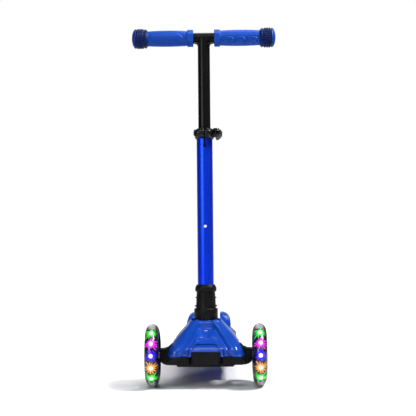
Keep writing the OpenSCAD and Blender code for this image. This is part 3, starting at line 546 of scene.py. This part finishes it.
def nose_piece(across=400, down=84):
    """The shell: columns at plan turns, packed closer in front; rows at heights, each held above the
    hem, which rises over the mouth, the steering arms and the deck; then a roof under the collar."""
    table = np.linspace(-math.pi, math.pi, 4001)
    packed = np.cumsum(1 + 4.0 * (np.abs(table) < 1.15))
    turn = np.interp(np.linspace(packed[0], packed[-1], across + 1)[:-1], packed, table)
    behind = -nose_ring(turn, 70.0) * np.cos(turn)
    hem = NOSE_HEM + (ARM_HEM - NOSE_HEM) * eased(behind, *ARM_FROM)
    hem = hem + (DECK_HEM - ARM_HEM) * eased(behind, *DECK_FROM)
    heights = np.linspace(NOSE_HEM, MOUTH[0, 1] + 3, 500)[:, None]
    in_mouth = np.interp(np.abs(nose_ring(turn, heights) * np.sin(turn)), MOUTH[:, 0], MOUTH[:, 1])
    open_here = (heights < in_mouth) & (np.cos(turn) > 0.5) & (np.abs(turn) < 0.6)
    hem = np.maximum(hem, np.where(open_here, heights, 0).max(axis=0))
    z = np.maximum(np.linspace(NOSE_TOP, NOSE_HEM, down)[:, None], hem)
    out = nose_ring(turn, z) + nose_relief(turn, z)
    share = np.linspace(1, 0, 8)[:-1, None] ** 1.3
    roof_out = COLLAR_SEAT + (out[0] - COLLAR_SEAT) * (1 - share)
    roof = (ROOF_TOP - ROOF_FALL_SIDE * np.abs(roof_out * np.sin(turn))
            + ROOF_FALL_BACK * roof_out * np.cos(turn))
    out = np.vstack([roof_out, out])
    z = np.vstack([np.minimum(roof, NOSE_TOP), z])
    return np.stack([out * np.sin(turn), STEM_Y - out * np.cos(turn), z], axis=-1) * MM


FLAP_SIDE = ([73, 76, 86, 88.4], [28.4, 27.9, 22.0, 19.2])
FLAP_ROWS = [*np.linspace(88.4, 77.6, 16), 77.0, 76.6, 76.2, 74.0, 73.4, 73.2, 73.2]
FLAP_BEHIND = 7.4
FLAP_LIP = 3.2
FLAP_WALL = 1.6


def flap_piece(across=60):
    """The flap: rows at heights, 3.2 mm behind the shell's face, where the distance ahead follows from
    the superellipse in plan; a lip runs along the foot, which turns back under the shell."""
    z = np.array(FLAP_ROWS)[:, None]
    x = np.interp(z, *FLAP_SIDE) * np.linspace(-1, 1, across)
    power = np.interp(z, *NOSE_POWER)
    plan = (1 - np.abs(x / rounded(z, *NOSE_SIDE)) ** power) ** (1 / power)
    ahead = rounded(z, *NOSE_FRONT) * plan - FLAP_BEHIND + FLAP_LIP * eased(-z, -77.6, -76.0)
    ahead[-2:] -= np.array([[2.0], [24.0]])
    return np.stack([x, STEM_Y - ahead, np.broadcast_to(z, x.shape)], axis=-1) * MM


def grid_mesh(name, points, wrap=True):
    """A mesh through rows of points; with wrap the last column meets the first. Doubles are merged."""
    down, across = points.shape[:2]
    ids = np.arange(down * across).reshape(down, across)
    here, beside = (ids, np.roll(ids, -1, axis=1)) if wrap else (ids[:, :-1], ids[:, 1:])
    quads = np.stack([here[:-1], here[1:], beside[1:], beside[:-1]], axis=-1).reshape(-1, 4)
    mesh = bpy.data.meshes.new(name)
    mesh.from_pydata(points.reshape(-1, 3).tolist(), [], quads.tolist())
    shape = bmesh.new()
    shape.from_mesh(mesh)
    bmesh.ops.remove_doubles(shape, verts=shape.verts, dist=2e-5)
    bmesh.ops.recalc_face_normals(shape, faces=shape.faces)
    shape.to_mesh(mesh)
    shape.free()
    mesh.shade_smooth()
    return mesh


def make_piece(name, mesh, material, slot, *stands_for):
    """An object for a finished mesh, which rides with the nodes that it stands for."""
    mesh.materials.append(material)
    piece = bpy.data.objects.new(name, mesh)
    bpy.context.scene.collection.objects.link(piece)
    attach(piece, body_of(nodes[stands_for[0]])[0])
    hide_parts(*stands_for)
    return piece


def walled(piece, thickness):
    """Gives an open skin its wall, inwards from the outer face, in mm."""
    wall = piece.modifiers.new("wall", "SOLIDIFY")
    wall.thickness = thickness * MM
    wall.offset = -1


nose_mesh = grid_mesh("nose_moulding", nose_piece())
walled(make_piece("nose_moulding", nose_mesh, shell_blue, "shell_blue", "nose_shell"), NOSE_WALL)
flap_mesh = grid_mesh("nose_flap_moulding", flap_piece(), wrap=False)
walled(make_piece("nose_flap_moulding", flap_mesh, shell_blue, "shell_blue", "nose_flap"), FLAP_WALL)


# ---- Wheels ----
# Blue moulded cores turn on sealed bearings with steel spacers between them, and smoky urethane tyres
# are cast round them. The front wheels hold a ring of lamps under the tyre: of every eight, five are
# lit, in four colours by turns.
CORE = ((0.003, 0.024, 0.26), (0.004, 0.034, 0.34))
# The lighter smoke and the milky grey paint a sheen on the tyre's crown.
SMOKE = ((0.004, 0.004, 0.005, 1), (0.16, 0.14, 0.17, 1))
MILKY_SHEEN = ((0.26, 0.25, 0.27, 1), (0.42, 0.41, 0.44, 1))
RESIN = (0.9, 0.93, 1, 1)
CROWN = (0.0585, 0.0622)
LAMP_DEPTH = (0.051, 0.056)
LAMPS = 16
LAMP_PITCH = 2 * math.pi / LAMPS
LAMP_TURN = math.radians(6.6)
LAMP_RING = 60.0
LAMP_GROUP = 8
LAMPS_LIT = 5
FIRST_LIT = 2
LAMP_COLOURS = [(0.03, 0.0, 1.0), (0.95, 0.02, 0.95), (0.04, 0.85, 0.04), (1.0, 0.36, 0.04)]
LAMP_GLOW = 1.5
SPOT = (3.0, 4.9)
RAYS = 13
RAY_LEAST = 8.6
RAY_SPREAD = 12.0
RAY_FADE = 0.45


def smoked_urethane(hub, has_lamps):
    """A recipe for smoky clear urethane, thinner at its crown, where mottled patches are painted paler:
    partly the urethane's clouding and partly a painted sheen. Each lamp behind it shows as a white spot
    with rays: their length goes up with the square of a raised cosine of the direction round the spot,
    more in some directions than in others, and a ray fades along its length. Where no lamp is lit, the
    crown is painted a mottled milky grey, a painted sheen."""
    def recipe(place):
        ahead, up = hub[1] - place.part(1), place.part(2) - hub[2]
        out = (ahead * ahead + up * up).maths("SQRT")
        mottle = place.noise(170.0, 3.0)
        crown = out.smooth(*CROWN)
        # Partly painted sheen: mottled patches on the crown are painted in the lighter smoke.
        smoke = (mottle.smooth(0.42, 0.75) * crown).mix(*SMOKE)
        inputs = {"Base Color": smoke, "Roughness": 0.16 + 0.16 * mottle, "Alpha": 1 - 0.10 * crown}
        if not has_lamps:
            return inputs
        turn = (up.maths("ARCTAN2", ahead) + (4 * math.pi - LAMP_TURN + LAMP_PITCH / 2)) / LAMP_PITCH
        number = turn.maths("FLOOR")
        along = (turn - number - 0.5) * (LAMP_PITCH * LAMP_RING)
        across = (place.part(0) - hub[0]) * (1 / MM)
        away = (along * along + across * across).maths("SQRT")
        direction = along.maths("ARCTAN2", across)
        uneven = place.node("ShaderNodeCombineXYZ", {}, {
            "X": direction * 1.9, "Y": number * 3.7}).noise(1.6, 1.0)
        spike = (direction * RAYS + number * 1.3).maths("COSINE") * 0.5 + 0.5
        length = RAY_LEAST + RAY_SPREAD * spike ** 2.0 * (0.12 + uneven.smooth(0.30, 0.70))
        phase = (number + FIRST_LIT).maths("FLOORED_MODULO", LAMP_GROUP)
        shines = phase.maths("LESS_THAN", LAMPS_LIT - 0.5) * out.smooth(*LAMP_DEPTH)
        unlit_sheen_crown = phase.maths("GREATER_THAN", LAMPS_LIT - 0.5) * crown
        kinds = len(LAMP_COLOURS)
        which = number.maths("FLOORED_MODULO", kinds) / kinds + 0.5 / kinds
        colour = which.node("ShaderNodeValToRGB", {
            "stops": [(n / kinds, shade) for n, shade in enumerate(LAMP_COLOURS)]}, {"Fac": which})
        rays = (shines * (1 - away / length).smooth(0.0, RAY_FADE)).mix((0, 0, 0, 1), colour)
        # Painted sheen: on the crown over an unlit lamp, the colour turns a mottled milky grey.
        inputs["Base Color"] = unlit_sheen_crown.mix(smoke, mottle.smooth(0.1, 0.9).mix(*MILKY_SHEEN))
        inputs["Emission Color"] = (shines * (1 - away.smooth(*SPOT))).mix(rays, (1, 1, 1, 1))
        inputs["Emission Strength"] = LAMP_GLOW
        return inputs
    return recipe


def clear_resin(place):
    """Clear lamp resin, a little uneven in its gloss."""
    return {"Base Color": RESIN, "Roughness": 0.1 + 0.1 * place.noise(200.0)}


core_blue = finish("deep_blue_core", moulded_blue(*CORE), specular=0.3)
dress(finish("lamp_resin", clear_resin), "leds_left", "leds_right")
for side in ("left", "right", "rear"):
    hub = [float(value) for value in middle("tyre_" + side)]
    dress(finish("smoked_urethane_" + side, smoked_urethane(hub, side != "rear")), "tyre_" + side)
    dress(core_blue, "core_" + side)
    dress(bright_steel, "bearings_" + side, "spacer_" + side)


# ---- Stem and clamp ----
# A blue anodised tube, raked back by 3 degrees, stands in a ribbed nylon collar and holds nylon
# bushes for the black inner tube. A gloss nylon band with a lobe at each side of its slit clamps the
# tube's slotted top, drawn tight by a bolt, a nut and a cam lever.
ANODISED = ((0.002, 0.036, 0.80, 1), (0.005, 0.062, 1.0, 1))
RAKE = math.radians(3)
PIVOT_Z = 104.0
CLAMP_AT = 404.1
BOLT_Y = -21.0
CAM_X = 24.0
CAM_BOSS = 5.0
LEVER_CUTS = (-7.5, -6, -4.5, -3, 3, 4.5, 6, 7.5)
LEVER_DRAWN_IN = 3.4
BAND_SLIT = 0.07
# Radii from the stem's axis and heights from the band's middle.
BAND_SECTION = np.array([
    (16.3, -9.4), (17.6, -10.4), (19.0, -9.4), (19.7, -5.5), (19.9, 0), (19.7, 5.5),
    (18.9, 9.0), (17.2, 10.4), (15.2, 10.5), (14.4, 10.0), (14.4, 8.9), (16.3, 8.8)])
# Places along the bolt and radii from its axis.
RIGHT_LOBE = ([-18, -18, -17.4, -16, -13.5, -10, -6, -3, -1.6, -0.8, -0.8],
              [0, 5.0, 6.4, 7.9, 9.3, 10.2, 10.4, 10.1, 9.7, 8.8, 0])
LEFT_LOBE = ([0.8, 0.8, 1.6, 4, 7, 10, 12.4, 14, 14], [0, 8.8, 9.6, 10.3, 10.3, 9.6, 8.3, 6.2, 0])
LOBE_FLATNESS = 0.96
LOBE_SEAT = 15.9


def anodised(place):
    """Blue anodised aluminium: drawn lines along the tube under the dye."""
    drawn = place.node("ShaderNodeMapping", {}, {"Vector": place, "Scale": (900.0, 900.0, 6.0)})
    lines = drawn.noise(1.0, 3.0)
    return {"Base Color": lines.mix(*ANODISED), "Roughness": 0.33 + 0.06 * lines}


def on_stem(x, y, along):
    """Points on the raked stem: x and y across it and a distance along it from the lean pivot."""
    back = STEM_Y + y * math.cos(RAKE) + along * math.sin(RAKE)
    up = PIVOT_Z - y * math.sin(RAKE) + along * math.cos(RAKE)
    return np.stack(np.broadcast_arrays(x, back, up), axis=-1) * MM


def capped(rows):
    """Rows of a carried section, closed at each end on the middle of its last section."""
    ends = [np.broadcast_to(rows[end].mean(axis=0), rows[end].shape) for end in (0, -1)]
    return np.concatenate([ends[:1], rows, ends[1:]])


def clamp_band(around=120):
    """The band: a closed rounded section, of radii and heights, carried round the stem from one side
    of the slit to the other."""
    turn = np.linspace(BAND_SLIT, 2 * math.pi - BAND_SLIT, around)[:, None]
    radius, height = np.broadcast_to(BAND_SECTION, (around, *BAND_SECTION.shape)).transpose(2, 0, 1)
    return capped(on_stem(radius * np.sin(turn), -radius * np.cos(turn), height + CLAMP_AT))


def clamp_lobe(places, sizes, around=48):
    """A lobe: rings about the bolt's axis whose radius follows a broken line along it, cut back to a
    cylinder just inside the stem's surface."""
    turn = np.linspace(0, 2 * math.pi, around, endpoint=False)
    x, radius = np.array(places)[:, None], np.array(sizes)[:, None]
    y = BOLT_Y - radius * LOBE_FLATNESS * np.cos(turn)
    y = np.minimum(y, -np.sqrt(np.clip(LOBE_SEAT ** 2 - x ** 2, 0, None)))
    return on_stem(x, y, CLAMP_AT + radius * np.sin(turn))


def round_lever(mesh):
    """Rounds the cam lever's edges. It is cut across at rises from its middle plane, and each point
    outside the cam's boss goes in, against the level part of its normal, by 3.4 mm times an eased step
    of its rise from 2.5 to 9 mm."""
    cam = Vector(on_stem(CAM_X, BOLT_Y, CLAMP_AT))
    rising = Vector((0, math.sin(RAKE), math.cos(RAKE)))
    shape = bmesh.new()
    shape.from_mesh(mesh)
    for rise in LEVER_CUTS:
        bmesh.ops.bisect_plane(shape, geom=[*shape.verts, *shape.edges, *shape.faces],
                               plane_co=cam + rising * rise * MM, plane_no=rising)
    shape.normal_update()
    for point in shape.verts:
        off = point.co - cam
        rise = off.dot(rising)
        outward = point.normal - rising * point.normal.dot(rising)
        if (off - rising * rise).length > CAM_BOSS * MM and outward.length > 0.2:
            step = float(eased(abs(rise) / MM, 2.5, 9.0))
            point.co -= outward.normalized() * LEVER_DRAWN_IN * MM * step
    shape.to_mesh(mesh)
    shape.free()


black_gloss = finish("gloss_black_nylon", powder_coat, specular=0.26)
dress(finish("blue_anodised", anodised, Metallic=0.85), "stem_tube")
dress(black_plastic, "tube_bush", "guide_bush", "snap_button")
dress(black_paint, "clamp_bolt")
softened("collar", black_plastic, 0.7)
softened("clamp_nut", black_gloss, 1.6)
round_lever(softened("clamp_lever", black_gloss, 1.0, 2).data)
clamp_parts = bmesh.new()
for rows in (clamp_band(), clamp_lobe(*RIGHT_LOBE), clamp_lobe(*LEFT_LOBE)):
    clamp_parts.from_mesh(grid_mesh("clamp_part", rows))
clamp_mesh = bpy.data.meshes.new("clamp_band")
clamp_parts.to_mesh(clamp_mesh)
clamp_parts.free()
clamp_mesh.shade_smooth()
make_piece("clamp_band", clamp_mesh, black_gloss, "black_gloss", "clamp_ring")


# ---- Springs ----
# Two compression springs, wound from plated wire with closed ends. One pushes the snap button out
# through the collar's back, and the other lifts the brake pedal off the rear wheel.
SNAP_AT = 60.5
SNAP_ENDS = (-13.05, 9.6)
SNAP_CLEAR = 0.08
SNAP_COIL = {"radius": 4.0, "wire": 0.8, "turns": 8}
PEDAL_COIL = {"radius": 3.6, "wire": 1.0, "turns": 5}
PEDAL_HEIGHT = 7.6


def coil(start, end, radius, wire, turns, per_turn=26, around=10):
    """A spring: a wire ring carried along a helix from start to end. Its rise is 0.35 of a straight
    line and 0.65 of an eased one, so that the first and last coils lie close."""
    start, end = np.array(start), np.array(end)
    axis = (end - start) / np.linalg.norm(end - start)
    side = np.array([1.0, 0, 0])
    other = np.cross(axis, side)
    t = np.linspace(0, 1, int(turns * per_turn))[:, None]
    turn = 2 * math.pi * turns * t
    rise = 0.5 * wire + (np.linalg.norm(end - start) - wire) * (0.35 * t + 0.65 * eased(t, 0.0, 1.0))
    outward = np.cos(turn) * side + np.sin(turn) * other
    middle_line = start + outward * radius + rise * axis
    ring = np.linspace(0, 2 * math.pi, around, endpoint=False)[None, :, None]
    section = np.cos(ring) * outward[:, None] + np.sin(ring) * axis
    return capped(middle_line[:, None] + 0.5 * wire * section) * MM


snap_inner, snap_outer = (on_stem(0.0, end, SNAP_AT) / MM for end in SNAP_ENDS)
snap_run = snap_outer - snap_inner
clear = SNAP_CLEAR * snap_run / np.linalg.norm(snap_run)
snap_mesh = grid_mesh("snap_coil", coil(snap_inner + clear, snap_outer - clear, **SNAP_COIL))
snap = make_piece("snap_coil", snap_mesh, bright_steel, "bright_steel", "snap_spring")
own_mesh(snap)

seat = middle("brake_spring") / MM
seat[2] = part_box("brake_spring")[0][2] / MM
pedal_mesh = grid_mesh("pedal_coil", coil(seat, seat + (0, 0, PEDAL_HEIGHT), **PEDAL_COIL))
pedal = make_piece("pedal_coil", pedal_mesh, bright_steel, "bright_steel", "brake_spring")
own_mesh(pedal)


# ---- Handlebar ----
# A painted steel crossbar is welded on the inner tube, and a soft rubber grip is pushed on each end
# of it: an octagonal flange, a swelling body with raised pads, and a ribbed bulb that shuts the bar.
GRIP = ((0.001, 0.044, 0.32, 1), (0.002, 0.064, 0.43, 1))
GRIP_BULB = (0.001, 0.011, 0.09, 1)
BULB_TINT = (0.1142, 0.1155)
CAP_TINT = (0.1380, 0.1400)
# Distances from the stem's axis along the bar, and radii from the bar's axis.
GRIP_START = 21.5
FLANGE_END = 34.0
BODY_END = 114.6
BULB_END = 139.3
BAR_END = 148.0
BAR_RADIUS = 11.1
GRIP_BORE = 11.15
FLANGE = 16.75
FLANGE_EDGE = 0.9
BODY = 15.0
BODY_SWELL = 1.5
DOME = 20.0
RIB_START = 123.6
RIB_END = 137.2
RIB_PITCH = 3.4
RIB_DEPTH = 1.8
NOTCHES = 24
BULB = [(BODY_END, BODY), (115.0, 15.6), (117.2, 17.6), (118.2, 19.4), (121.0, 19.6), (121.7, 18.0),
        (123.0, 18.0), (RIB_START, 20.2), (RIB_END, 20.4), (137.8, 18.1), (138.8, 18.1), (BULB_END, DOME)]
# Middles and half sizes along the bar and up round the body, whose mean radius is 16 mm.
BODY_MEAN = 16.0
PAD_AT = (78.0, 1.0)
PAD_HALF = (34.0, 11.0)
BUTTONS_AT = ((51.4, -4.8), (74.9, -4.8), (100.1, -4.8))
BUTTON_HALF = (10.8, 6.2)
PAD_RISE = 1.2
PADS_FROM = (34.5, 37)
PADS_TO = (112, 114)


def soft_blue(place):
    """Satin rubber: a fine grain, colour that deepens where hands have polished it, and a darker bulb."""
    worn = place.noise(24.0)
    reach = place.part(0).maths("ABSOLUTE")
    bulb = reach.smooth(*BULB_TINT) * (1 - 0.45 * reach.smooth(*CAP_TINT))
    return {
        "Base Color": bulb.mix(worn.mix(*GRIP), GRIP_BULB),
        "Roughness": 0.40 + 0.14 * worn,
        "Normal": place.noise(1500.0, 2.0).bump(0.05, 0.0002),
    }


def grip_radius(along, turn, pads_ahead):
    """Distance from the bar's axis. The flange is an octagon with eased edges, the body swells by a
    half sine, and the bulb follows a broken line and then a quarter ellipse. A long oval pad stands
    out of one face and three oval buttons out of the other, each with a furrow round it. Furrows
    between ribs go round the bulb, and one grip has notches along it too."""
    corner = np.mod(turn + math.pi / 8, math.pi / 4) - math.pi / 8
    edges = eased(along, FLANGE_END - 1, FLANGE_END) + 1 - eased(along, GRIP_START, GRIP_START + 0.8)
    flange = FLANGE / np.cos(corner) - FLANGE_EDGE * edges
    swell = np.clip((along - FLANGE_END) / (BODY_END - FLANGE_END), 0, 1)
    body = BODY + BODY_SWELL * np.sin(math.pi * swell) ** 0.6
    bulb = np.interp(along, *zip(*BULB))
    beyond = np.clip(along - BULB_END, 0, None) / (BAR_END - BULB_END)
    dome = DOME * np.sqrt(np.clip(1 - beyond ** 2, 0, 1))
    plain = np.where(along < FLANGE_END, flange,
                     np.where(along < BODY_END, body, np.where(along < BULB_END, bulb, dome)))
    facing = np.cos(turn) * (1 if pads_ahead else -1)

    def oval(at, half):
        """0 in the middle of an oval and 1 on its edge."""
        return np.hypot((along - at[0]) / half[0], (BODY_MEAN * np.sin(turn) - at[1]) / half[1])

    pad_oval = oval(PAD_AT, PAD_HALF)
    pad = PAD_RISE * (1 - eased(pad_oval, 0.90, 1.0)) - furrow(pad_oval - 1.06, 0.8, 0.06)
    buttons = 0
    for at in BUTTONS_AT:
        ring = oval(at, BUTTON_HALF)
        buttons = buttons + PAD_RISE * (1 - eased(ring, 0.82, 1.0)) - furrow(ring - 1.10, 0.7, 0.10)
    on_body = eased(along, *PADS_FROM) * (1 - eased(along, *PADS_TO))
    relief = on_body * np.where(facing > 0, pad, buttons) * eased(np.abs(facing), 0.05, 0.25)
    band = (along > RIB_START) & (along < RIB_END)
    gaps = eased(np.abs(np.mod(along - RIB_START, RIB_PITCH) - RIB_PITCH / 2), 1.15, 1.4)
    notches = eased(np.abs(np.mod(turn * NOTCHES / (2 * math.pi), 1) - 0.5), 0.30, 0.38)
    cut = 0.7 * gaps if pads_ahead else gaps + 0.8 * notches
    return plain + relief - RIB_DEPTH * np.clip(cut, 0, 1) * band


def grip_piece(side, pads_ahead, around=168):
    """The grip: rings at places along the bar, each turned about the bar's axis; the ends are closed
    by rings that shrink to the bore inside and to a point outside."""
    bar_y = middle("grip_left")[1] / MM
    bar_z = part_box("crossbar")[1][2] / MM - BAR_RADIUS
    dome = BULB_END + (BAR_END - BULB_END) * np.sin(np.linspace(0.02, math.pi / 2, 30))
    along = np.concatenate([np.linspace(GRIP_START, FLANGE_END, 30), np.linspace(34.01, 113.9, 90),
                            np.linspace(BODY_END, BULB_END, 80), dome])
    turn = np.linspace(0, 2 * math.pi, around, endpoint=False)
    radius = grip_radius(along[:, None], turn, pads_ahead)
    along = np.concatenate([[GRIP_START], along, [BAR_END]])
    radius = np.vstack([np.full(around, GRIP_BORE), radius, np.zeros(around)])
    x = side * np.broadcast_to(along[:, None], radius.shape)
    return np.stack([x, bar_y - radius * np.cos(turn), bar_z + radius * np.sin(turn)], axis=-1) * MM


dress(black_paint, "inner_tube", "crossbar")
grip_blue = finish("blue_rubber", soft_blue, specular=0.20)
for name, side in (("grip_left", 1), ("grip_right", -1)):
    grip_mesh = grid_mesh(name + "_rubber", grip_piece(side, side < 0))
    make_piece(name + "_rubber", grip_mesh, grip_blue, "grip_blue", name)
